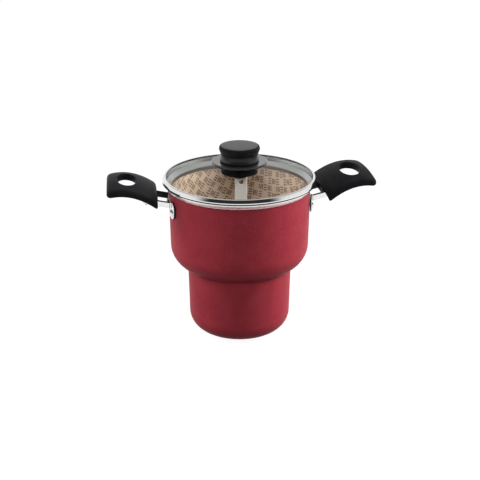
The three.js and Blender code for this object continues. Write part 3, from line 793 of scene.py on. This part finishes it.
def ear_rings(angle, height, side):
    """Rings of an ear: a tab curved to the pot's wall, round below and at its outer top corner."""
    tip = arc((0, height), EAR_HALF_WIDTH, -math.pi, 0)
    corners = [
        *tip,
        (EAR_HALF_WIDTH, STRAP_TOP, EAR_TOP_CORNER),
        (-EAR_HALF_WIDTH, STRAP_TOP, EAR_INNER_CORNER),
    ]
    outline = filleted(corners, closed=True)
    centre = np.array([0, height + EAR_CENTRE_RISE])
    outer = EAR_INNER + EAR_SHEET
    shares = (0.25, 0.5, 0.75)
    bevel = EAR_EDGE * 0.3
    levels = [(outer, share, 0) for share in shares]
    levels += [(outer, 1, EAR_EDGE), (outer - bevel, 1, bevel), (outer - EAR_EDGE, 1, 0)]
    levels += [(EAR_INNER, 1, 0)] + [(EAR_INNER, share, 0) for share in shares[::-1]]
    rings = []
    for radius, share, inset in levels:
        ring = []
        for point in outline:
            away = point - centre
            reach = np.linalg.norm(away)
            place = centre + away * share * (reach - inset) / reach
            turn = angle + side * place[0] / outer
            ring.append((radius * math.cos(turn), radius * math.sin(turn), place[1]))
        rings.append(ring)
    return rings


def dome(radius, seat, height):
    """A domed head's outline from its rim to its top on the axis."""
    ball = (radius ** 2 + height ** 2) / (2 * height)
    tilt = math.asin(radius / ball)
    angles = np.linspace(tilt, 0, DOME_STEPS)
    return [(ball * math.sin(a), seat + height - ball * (1 - math.cos(a))) for a in angles]


def place_along_x(piece, height, turn):
    """Lay a piece that was turned about Z along the direction at an angle round the pot."""
    lay = Matrix.Rotation(math.pi / 2, 4, "Y")
    piece.data.transform(Matrix.Rotation(turn, 4, "Z") @ Matrix.Translation((0, 0, height * MM)) @ lay)


def make_rivet(node):
    """A domed rivet with its tail inside the pot, where the CAD rivet stands."""
    low, high = cad_box(node)
    centre = (low + high) / 2
    seat = EAR_INNER + EAR_SHEET
    tail = UPPER_RADIUS - WALL - RIVET_CLEARANCE
    line = filleted([
        (0, tail - RIVET_TAIL),
        (RIVET_RADIUS, tail - RIVET_TAIL, 0.5),
        (RIVET_RADIUS, tail, 0.3),
        (RIVET_SHANK, tail),
        (RIVET_SHANK, seat),
        (RIVET_RADIUS, seat),
        (RIVET_RADIUS, seat + RIVET_RIM, 0.15),
        *dome(RIVET_DOME_RADIUS, seat + RIVET_DOME_SEAT, RIVET_DOME),
    ])
    bands = banded(line, lambda r, z: SATIN if z < tail + 0.1 else POLISHED)
    rivet = lathe(node + "_head", bands, turns=SMALL_TURNS)
    place_along_x(rivet, centre.z, math.atan2(centre.y, centre.x))
    stand_for(rivet, node)


def cross_slots(centre, size, depth):
    """Two crossed bars that cut a screwdriver recess into a head that faces +Z."""
    bars = []
    for wide, deep in ((size, size / 4), (size / 4, size)):
        low = (-wide / 2, -deep / 2, centre - depth)
        high = (wide / 2, deep / 2, centre + depth)
        bars.append(loft("recess", box_rings(low, high, size / 12), POLISHED))
    return bars


def make_handle_screw(node, turn):
    """A pan-head screw with a cross recess, through the strap's nose into the boss."""
    low, high = cad_box(node)
    seat = STRAP_NOSE + SCREW_CLEARANCE
    end = seat - SCREW_LENGTH
    line = filleted([
        (0, end),
        (SCREW_TIP_RADIUS, end, 0.3),
        (SCREW_SHANK, end + SCREW_TIP),
        (SCREW_SHANK, seat),
        (SCREW_RADIUS, seat),
        (SCREW_RADIUS, seat + SCREW_RIM, 0.3),
        *dome(SCREW_DOME_RADIUS, seat + SCREW_DOME_SEAT, SCREW_DOME),
    ])
    screw = lathe(node + "_head", [(line, POLISHED)], turns=SMALL_TURNS)
    combine(screw, cross_slots(seat + SCREW_TOP, RECESS_SIZE, RECESS_DEPTH), "DIFFERENCE")
    place_along_x(screw, (low.z + high.z) / 2, turn)
    stand_for(screw, node)


def paint_strap_reflections(mesh):
    """Paint reflections and shade on the strap: painted dark reflections on its top, its upper edge band and
    its inner faces, and painted shadow on the ears' cut edges.
    """
    mesh.materials.append(PAINTED_SHADE)
    for face in mesh.polygons:
        centre = face.center / MM
        along = Vector((centre.x, centre.y, 0)).normalized()
        on_wall = centre.x < EAR_INNER + EAR_SHEET + 0.3
        above = centre.z - STRAP_TOP - STRAP_RISE * max(0, centre.x - UPPER_RADIUS)
        inside = face.normal.y * centre.y < 0 and abs(face.normal.y) > 0.6
        cut = abs(face.normal.dot(along)) < 0.5
        if (on_wall and cut) or (not on_wall and (inside or above > -STRAP_REFLECTION_BAND)):
            face.material_index = 1


def make_handle(side, turn, skew, lean):
    """One handle: grip with its boss, strap with its ears, and the screw between them."""
    node = f"handle_grip_{side}"
    grip = handle_bar(node + "_moulding", skew, lean)
    boss_end = STRAP_NOSE - STRAP_SHEET - BOSS_CLEARANCE
    boss_low = (HANDLE_INNER + BOSS_CLEARANCE, -BOSS_HALF_WIDTH, BOSS_LOW)
    boss_high = (boss_end, BOSS_HALF_WIDTH, HANDLE_INNER_HEIGHT - HANDLE_THICKNESS / 2)
    combine(grip, [loft("boss", box_rings(boss_low, boss_high, BOSS_CORNER), BLACK)], "UNION")
    combine(grip, [loft("groove", strap_rings(GROOVE_CLEARANCE, GROOVE_TAIL), BLACK)], "DIFFERENCE")
    grip.data.transform(Matrix.Rotation(turn, 4, "Z"))
    stand_for(grip, node)

    node = f"handle_bracket_{side}"
    bracket = loft(node + "_strap", strap_rings(0, STRAP_TAIL), POLISHED)
    low, high = cad_box(f"rivet_{side}_front")
    rivet = (low + high) / 2
    spread = abs(math.atan2(rivet.y, abs(rivet.x)))
    ears = [loft("ear", ear_rings(s * spread, rivet.z, s), POLISHED) for s in (-1, 1)]
    combine(bracket, ears, "UNION")
    # Painted dark reflections and shadow on the strap and its ears
    paint_strap_reflections(bracket.data)
    bracket.data.transform(Matrix.Rotation(turn, 4, "Z"))
    stand_for(bracket, node)

    make_handle_screw(f"handle_screw_{side}", turn)
    for row in ("front", "back"):
        make_rivet(f"rivet_{side}_{row}")


# Lid

def make_ring():
    """Rolled steel ring: skirt with its hem, slope, seat on the rim, and a lip over the glass."""
    sheet = RING_SHEET
    hem_top = SKIRT_BOTTOM + HEM_HEIGHT
    corners = [
        (SKIRT_RADIUS - HEM_THICKNESS, SKIRT_BOTTOM, 0.35),
        (SKIRT_RADIUS, SKIRT_BOTTOM, 0.35),
        (SKIRT_RADIUS, hem_top, 1.2),
        (SLOPE_TOP, RING_SEAT, 0.9),
        (RING_RADIUS - RING_FOOT, RING_SEAT, 0.8),
        (RING_RADIUS, RING_SEAT + RING_FOOT, 0.6),
        (RING_RADIUS, RING_SEAT + RING_SHADE),
        (RING_RADIUS, RING_SEAT + RING_SIDE, 0.6),
        (RING_RADIUS - RING_BEVEL, RING_TOP - 0.35, 0.5),
        (RING_RADIUS - RING_SHOULDER, RING_TOP, 1.2),
        (LIP_RADIUS, RING_TOP - 0.25, 0.25),
        (LIP_RADIUS, RING_TOP - LIP_THICKNESS, 0.2),
        (RING_RADIUS - 1.4, RING_TOP - LIP_THICKNESS, 0.2),
        (RING_RADIUS - sheet, RING_SEAT + 2.6, 0.5),
        (RING_RADIUS - sheet, RING_SEAT + sheet, 0.3),
        (SLOPE_TOP - 0.2, RING_SEAT + sheet, 0.6),
        (SKIRT_RADIUS - sheet, hem_top + 0.5, 0.9),
        (SKIRT_RADIUS - sheet, hem_top, 0.15),
        (SKIRT_RADIUS - HEM_THICKNESS, hem_top - 0.3, 0.3),
    ]
    line = filleted(corners, closed=True)

    def pick(radius, height):
        """Painted shade on the lip's edge and in a band round the foot, hem steel darkened with painted
        shade, a duller slope, and polish everywhere else.
        """
        # Painted shade along the lip's edge over the glass
        if radius < LIP_RADIUS + 0.2 and height > RING_TOP - LIP_THICKNESS - 0.05:
            return PAINTED_SHADE
        # Painted shadow band round the foot, where the ring sits on the rim
        if radius > RING_RADIUS - 0.45 and height < RING_SEAT + RING_SHADE + 0.01:
            return PAINTED_SHADE
        # Hem in darker steel: painted shade
        if height < hem_top - 0.1:
            return HEM_SHADED_STEEL
        if height < RING_SEAT + sheet + 0.05 and radius < SLOPE_TOP + 0.3:
            return SLOPE_STEEL
        return POLISHED

    ring = lathe("lid_ring_roll", banded(line, pick), closed=True, turns=RING_TURNS)
    stand_for(ring, "lid_ring")


def glass_top(radius):
    """Height of the dome's upper face."""
    rise = GLASS_APEX - GLASS_EDGE_TOP
    ball = (GLASS_EDGE ** 2 + rise ** 2) / (2 * rise)
    return GLASS_APEX - ball + math.sqrt(ball ** 2 - radius ** 2)


def make_glass():
    """Shallow dome of even thickness with a ground edge and a hole for the knob screw."""
    edge_top = glass_top(GLASS_EDGE)
    upper = [(r, glass_top(r)) for r in np.linspace(GLASS_HOLE, GLASS_EDGE - GLASS_ROUND, GLASS_STEPS)]
    lower = [(r, z - GLASS_THICKNESS) for r, z in upper[::-1]]
    rim = [
        (GLASS_EDGE, edge_top - 0.9, 0.8),
        (GLASS_EDGE, edge_top - GLASS_THICKNESS + 0.5, 0.4),
    ]
    line = filleted(upper + rim + lower, closed=True)
    stand_for(lathe("lid_glass_dome", [(line, GLASS)], closed=True), "lid_glass")


def make_guard():
    """Guard disc on a foot that stands on the glass round the upper gasket."""
    disc_bottom = GUARD_HIGH.z - GUARD_THICKNESS
    face = GUARD_HIGH.z - GUARD_DISH
    pad = cad_box("knob_gasket_upper")[1].x + PAD_CLEARANCE
    line = filleted([
        (KNOB_BORE, GUARD_LOW.z),
        (pad, GUARD_LOW.z),
        (pad, glass_top(pad) + PAD_CLEARANCE),
        (KNOB_BASE_RADIUS - KNOB_BASE_TAPER, glass_top(KNOB_BASE_RADIUS) + PAD_CLEARANCE, 0.9),
        (KNOB_BASE_RADIUS, disc_bottom, 0.6),
        (GUARD_HIGH.x, disc_bottom, 1.1),
        (GUARD_HIGH.x, GUARD_HIGH.z, 1.1),
        (KNOB_FOOT_RADIUS + GUARD_DISH_MARGIN, face, 2.0),
        (KNOB_BORE, face),
    ], closed=True)
    bands = banded(line, lambda r, z: GUARD_BLACK if z > disc_bottom + 0.1 else BLACK)
    stand_for(lathe("knob_guard_disc", bands, closed=True), "knob_guard")


def make_knob_grip():
    """Mushroom grip with a socket for its insert, duller round the edge of its cap."""
    foot = GRIP_LOW.z
    top = GRIP_HIGH.z
    cap_radius = GRIP_HIGH.x
    socket_top = foot + KNOB_SOCKET_DEPTH
    line = filleted([
        (0, socket_top),
        (KNOB_SOCKET_RADIUS, socket_top),
        (KNOB_SOCKET_RADIUS, foot),
        (KNOB_FOOT_RADIUS, foot, 0.5),
        (KNOB_FOOT_RADIUS, foot + KNOB_FOOT_HEIGHT, 0.7),
        (KNOB_WAIST_RADIUS, foot + KNOB_WAIST_HEIGHT, 4.0),
        (KNOB_WAIST_RADIUS, top - KNOB_CAP_HEIGHT, 1.8),
        (cap_radius, top - KNOB_BULGE, 1.3),
        (cap_radius - KNOB_CAP_TAPER, top - KNOB_CROWN, 1.9),
        (cap_radius - KNOB_CROWN_MARGIN, top - KNOB_CROWN * 0.3, 12.0),
        (0, top),
    ])
    edge_low = top - KNOB_BULGE
    edge_high = top - KNOB_CROWN / 2
    bands = banded(line, lambda r, z: BLACK if edge_low < z < edge_high else SATIN_BLACK)
    stand_for(lathe("knob_mushroom", bands), "knob_grip")


def make_knob_screw():
    """Slotted screw from under the glass up into the knob's insert."""
    low, high = cad_box("knob_screw")
    head = low.z + KNOB_SCREW_HEAD
    line = filleted([
        (0, low.z),
        (KNOB_SCREW_FACE, low.z, 1.0),
        (KNOB_SCREW_RADIUS, low.z + KNOB_SCREW_BEVEL, 0.6),
        (KNOB_SCREW_RADIUS, head, 0.3),
        (KNOB_SCREW_SHANK, head),
        (KNOB_SCREW_SHANK, high.z, 0.5),
        (0, high.z),
    ])
    screw = lathe("knob_screw_head", [(line, POLISHED)], turns=SMALL_TURNS)
    slot_low = (-DRIVER_REACH, -DRIVER_HALF_WIDTH, low.z - DRIVER_DEPTH)
    slot_high = (DRIVER_REACH, DRIVER_HALF_WIDTH, low.z + DRIVER_DEPTH)
    combine(screw, [loft("slot", box_rings(slot_low, slot_high, 0.3), POLISHED)], "DIFFERENCE")
    stand_for(screw, "knob_screw")


def make_knob_disc(node, finish, bore, reach):
    """A gasket or washer of the stack that is clamped to the glass."""
    low, high = cad_box(node)
    edge = (high.z - low.z) / 4
    line = rounded_box((bore, low.z), (min(high.x, reach), high.z), edge)
    stand_for(lathe(node + "_ring", [(line, finish)], closed=True, turns=DISC_TURNS), node)


def dress_insert():
    """The insert hidden in the knob keeps its CAD mesh and takes a brass finish."""
    insert = frame["nodes"]["knob_insert"]
    insert.data.materials.clear()
    insert.data.materials.append(BRASS)


# Steam plate and lift strip

def plate_holes():
    """Centres of the plate's steam holes, clear of the strip's foot."""
    radius = PLATE_HIGH.x - PLATE_RING_MARGIN
    foot_back = STRIP_SETBACK + STRIP_SHEET
    centres = []
    for ring in range(PLATE_RING_COUNT):
        reach = radius - ring * PLATE_RING_PITCH
        count = int(2 * math.pi * reach / PLATE_HOLE_SPACING)
        for i in range(count):
            x = reach * math.cos(2 * math.pi * i / count)
            y = reach * math.sin(2 * math.pi * i / count)
            beside = abs(x) > STRIP_WIDTH / 2 + PLATE_HOLE_RADIUS
            beyond = y < foot_back - STRIP_FOOT - PLATE_HOLE_RADIUS or y > foot_back + PLATE_HOLE_RADIUS
            if beside or beyond:
                centres.append((x, y))
    return centres


def make_plate():
    """Perforated disc with softened edges."""
    curve = bpy.data.curves.new("plate_outline", "CURVE")
    curve.dimensions = "2D"
    curve.fill_mode = "BOTH"
    curve.extrude = ((PLATE_HIGH.z - PLATE_LOW.z) / 2 - PLATE_BEVEL) * MM
    curve.bevel_depth = PLATE_BEVEL * MM
    curve.bevel_resolution = 2
    curve.offset = -PLATE_BEVEL * MM
    rims = [(0, 0, PLATE_HIGH.x, LATHE_TURNS)]
    rims += [(x, y, PLATE_HOLE_RADIUS, HOLE_SIDES) for x, y in plate_holes()]
    for x, y, radius, count in rims:
        spline = curve.splines.new("POLY")
        spline.points.add(count - 1)
        spline.use_cyclic_u = True
        for i, point in enumerate(spline.points):
            angle = 2 * math.pi * i / count
            point.co = ((x + radius * math.cos(angle)) * MM, (y + radius * math.sin(angle)) * MM, 0, 1)
    drawn = put_in_scene("plate_outline", curve)
    mesh = bpy.data.meshes.new_from_object(drawn.evaluated_get(bpy.context.evaluated_depsgraph_get()))
    bpy.data.objects.remove(drawn)
    work = bmesh.new()
    work.from_mesh(mesh)
    bmesh.ops.remove_doubles(work, verts=work.verts, dist=TOUCH)
    work.to_mesh(mesh)
    work.free()
    lift = Matrix.Translation((0, 0, (PLATE_LOW.z + PLATE_HIGH.z) / 2 * MM))
    mesh.transform(lift @ Matrix.Rotation(PLATE_TURN, 4, "Z"))
    mesh.materials.clear()
    mesh.materials.append(SATIN)
    face_out(mesh)
    stand_for(put_in_scene("steam_plate_disc", mesh), "steam_plate")


def strip_half_width(distance):
    """Half the strip's width at a distance from one of its rounded ends."""
    short = max(0.0, STRIP_CORNER - distance)
    return STRIP_WIDTH / 2 - STRIP_CORNER + math.sqrt(STRIP_CORNER ** 2 - short ** 2)


def make_strip():
    """Bent flat bar: foot on the plate, upright behind the axis with a slot near its top."""
    half = STRIP_SHEET / 2
    level = STRIP_LOW.z + half
    back = STRIP_SETBACK + half
    front = STRIP_SETBACK + STRIP_SHEET - STRIP_FOOT
    bent = filleted([(front, level), (back, level, STRIP_BEND), (back, STRIP_HIGH.z)])
    run = run_along(bent)
    ends = STRIP_CORNER * (1 - np.cos(np.linspace(0, math.pi / 2, END_STEPS)))
    stops = np.unique(np.concatenate([ends, run[1:-1], run[-1] - ends]))
    line = points_at(bent, stops)
    ahead = np.gradient(line, stops, axis=0)
    rings = []
    for stop, (y, z), (along_y, along_z) in zip(stops, line, ahead):
        wide = strip_half_width(min(stop, run[-1] - stop))
        section = rounded_box((-wide, -half), (wide, half), STRIP_EDGE)
        rings.append([(a, y - along_z * b, z + along_y * b) for a, b in section])
    strip = loft("lift_strip_bar", rings, DULL)
    radius = SLOT_WIDTH / 2
    top = STRIP_HIGH.z - SLOT_TOP_MARGIN - radius
    bottom = STRIP_HIGH.z - SLOT_TOP_MARGIN - SLOT_LENGTH + radius
    outline = arc((0, top), radius, 0, math.pi) + arc((0, bottom), radius, math.pi, 2 * math.pi)
    slot = [[(x, y, z) for x, z in outline] for y in (back - SLOT_REACH, back + SLOT_REACH)]
    combine(strip, [loft("slot", slot, DULL)], "DIFFERENCE")
    strip.data.transform(Matrix.Rotation(PLATE_TURN, 4, "Z"))
    stand_for(strip, "lift_strip")


def make_strip_rivet(node):
    """A small domed rivet through the strip's foot and the plate."""
    low, high = cad_box(node)
    centre = (low + high) / 2
    seat = STRIP_LOW.z + STRIP_SHEET + 0.05
    tail = PLATE_LOW.z - 0.1
    rim = seat + STRIP_RIVET_RIM
    line = filleted([
        (0, low.z),
        (STRIP_RIVET_RADIUS, low.z, 0.4),
        (STRIP_RIVET_RADIUS, tail, 0.2),
        (STRIP_RIVET_SHANK, tail),
        (STRIP_RIVET_SHANK, seat),
        (STRIP_RIVET_RADIUS, seat),
        *dome(STRIP_RIVET_RADIUS, rim, high.z - rim),
    ])
    rivet = lathe(node + "_head", [(line, SATIN)], turns=TINY_TURNS)
    rivet.data.transform(Matrix.Translation((centre.x * MM, centre.y * MM, 0)))
    stand_for(rivet, node)


make_pot()
make_handle("right", 0.0, -HANDLE_SKEW, RIGHT_HANDLE_LEAN)
make_handle("left", math.pi, HANDLE_SKEW, 0.0)
make_ring()
make_glass()
make_guard()
make_knob_grip()
make_knob_screw()
make_knob_disc("knob_gasket_upper", RUBBER, GLASS_HOLE, KNOB_BASE_RADIUS)
make_knob_disc("knob_gasket_lower", RUBBER, GLASS_HOLE, WASHER_RADIUS)
make_knob_disc("knob_washer", POLISHED, KNOB_BORE, WASHER_RADIUS)
dress_insert()
make_plate()
make_strip()
make_strip_rivet("strip_rivet_front")
make_strip_rivet("strip_rivet_back")


# Studio, in metres, in a frame turned with the view: right, away from the camera, up
PICTURE_WIDTH = 480
VIEW_TURN = 0.16
VIEW_TILT = math.radians(21.207)
VIEW_DISTANCE = 1.225926
VIEW_HEIGHT = 0.096158
VIEW_LENS = 89.0
VIEW_SHIFT = 0.55 / PICTURE_WIDTH
LAMP_AIM = 0.1
FLOOR_RADIUS = 9.0
FLOOR_SIDES = 96
FLOOR_DROP = 0.0001
FLOOR_NEAR = 0.4
FLOOR_FAR = 1.6
FLOOR_NEAR_GLOW = 0.93
WORLD_LIGHT = 0.05
OVERHEAD_LIGHT = 0.6


def studio(right, away, up):
    """A point of the studio frame in the object's frame, in metres."""
    c = math.cos(VIEW_TURN)
    s = math.sin(VIEW_TURN)
    return Vector((right * c + away * s, away * c - right * s, up))


def aim(item, place, target):
    """Put a lamp or camera at a place and point it at a target."""
    item.location = place
    item.rotation_euler = (target - place).to_track_quat("-Z", "Y").to_euler()


def make_camera():
    """The camera that was fitted to the photograph."""
    camera = bpy.data.cameras.new("camera")
    camera.lens = VIEW_LENS
    camera.sensor_width = 36.0
    camera.shift_x = VIEW_SHIFT
    camera.clip_start = 0.01
    camera.clip_end = 50.0
    item = put_in_scene("camera", camera)
    target = Vector((0, 0, VIEW_HEIGHT))
    back = studio(0, -VIEW_DISTANCE * math.cos(VIEW_TILT), VIEW_DISTANCE * math.sin(VIEW_TILT))
    aim(item, target + back, target)
    bpy.context.scene.camera = item


def make_lamp(name, place, size, power):
    """A softbox of some watts aimed at the object, itself out of sight and out of mirrors."""
    lamp = bpy.data.lights.new(name, "AREA")
    lamp.shape = "RECTANGLE"
    lamp.size, lamp.size_y = size
    lamp.energy = power
    item = put_in_scene(name, lamp)
    aim(item, studio(*place), Vector((0, 0, LAMP_AIM)))
    item.visible_camera = False
    item.visible_glossy = False


def show_share(tree):
    """One for rays that show the background: straight from the camera, mirrored or seen through."""
    path = add(tree, "ShaderNodeLightPath").outputs
    shown = calc(tree, "MAXIMUM", path["Is Camera Ray"], path["Is Glossy Ray"])
    return calc(tree, "MAXIMUM", shown, path["Is Transmission Ray"])


def make_floor():
    """A wide floor that looks white and keeps the object's shadow."""
    angles = 2 * math.pi * np.arange(FLOOR_SIDES) / FLOOR_SIDES
    rim = [(FLOOR_RADIUS * math.cos(a), FLOOR_RADIUS * math.sin(a), -FLOOR_DROP) for a in angles]
    mesh = bpy.data.meshes.new("floor")
    mesh.from_pydata(rim, [], [list(range(FLOOR_SIDES))])
    finish, tree, shader = new_finish("pale_floor")
    grain = fade(tree, noise(tree, 6, 2), 0.3, 0.7)
    colour = blend(tree, grain, (0.075, 0.075, 0.075, 1), (0.085, 0.085, 0.085, 1))
    place = add(tree, "ShaderNodeTexCoord").outputs["Object"]
    reach = add(tree, "ShaderNodeVectorMath", {0: place}, operation="LENGTH").outputs["Value"]
    level = fade(tree, reach, FLOOR_NEAR, FLOOR_FAR, FLOOR_NEAR_GLOW, 1.0)
    glow = calc(tree, "MULTIPLY", show_share(tree), level)
    set_shader(tree, shader, Base_Color=colour, Roughness=0.9, Specular_IOR_Level=0.0)
    set_shader(tree, shader, Emission_Color=(1, 1, 1, 1), Emission_Strength=glow)
    mesh.materials.append(finish)
    floor = put_in_scene("floor", mesh)


def make_world():
    """Even low light for surfaces, and for mirrors a white backdrop with a dark studio before it."""
    world = bpy.data.worlds.new("studio")
    world.use_nodes = True
    tree = world.node_tree
    backdrop = tree.nodes["Background"]
    way = add(tree, "ShaderNodeTexCoord").outputs["Generated"]
    height = add(tree, "ShaderNodeSeparateXYZ", {0: way}).outputs[2]
    front = tuple(studio(0, -1, 0))
    ahead = add(tree, "ShaderNodeVectorMath", {0: way, 1: front}, operation="DOT_PRODUCT")
    before = fade(tree, ahead.outputs["Value"], 0.3, 0.6)
    front_wall = fade(tree, height, 0.08, 0.2, 1.0, 0.03)
    other_wall = fade(tree, height, 0.35, 0.6, 1.0, 0.5)
    walls = add(tree, "ShaderNodeMix", {0: before, 2: other_wall, 3: front_wall}).outputs[0]
    overhead = fade(tree, height, 0.70, 0.82)
    seen = add(tree, "ShaderNodeMix", {0: overhead, 2: walls, 3: OVERHEAD_LIGHT}).outputs[0]
    shown = show_share(tree)
    strength = add(tree, "ShaderNodeMix", {0: shown, 2: WORLD_LIGHT, 3: seen}).outputs[0]
    tree.links.new(strength, backdrop.inputs["Strength"])
    backdrop.inputs["Color"].default_value = (1, 1, 1, 1)
    bpy.context.scene.world = world


make_camera()
make_lamp("right_softbox", (1.0, 0.12, 0.54), (0.6, 0.6), 25.5)
make_lamp("left_softbox", (-1.0, 0.06, 0.54), (0.6, 0.6), 15.0)
make_lamp("top_softbox", (0.0, -0.2, 1.3), (1.2, 1.1), 8.0)
make_lamp("front_softbox", (0.0, -1.12, 0.78), (0.7, 0.4), 7.4)
make_floor()
make_world()
bpy.context.scene.view_settings.view_transform = "Standard"
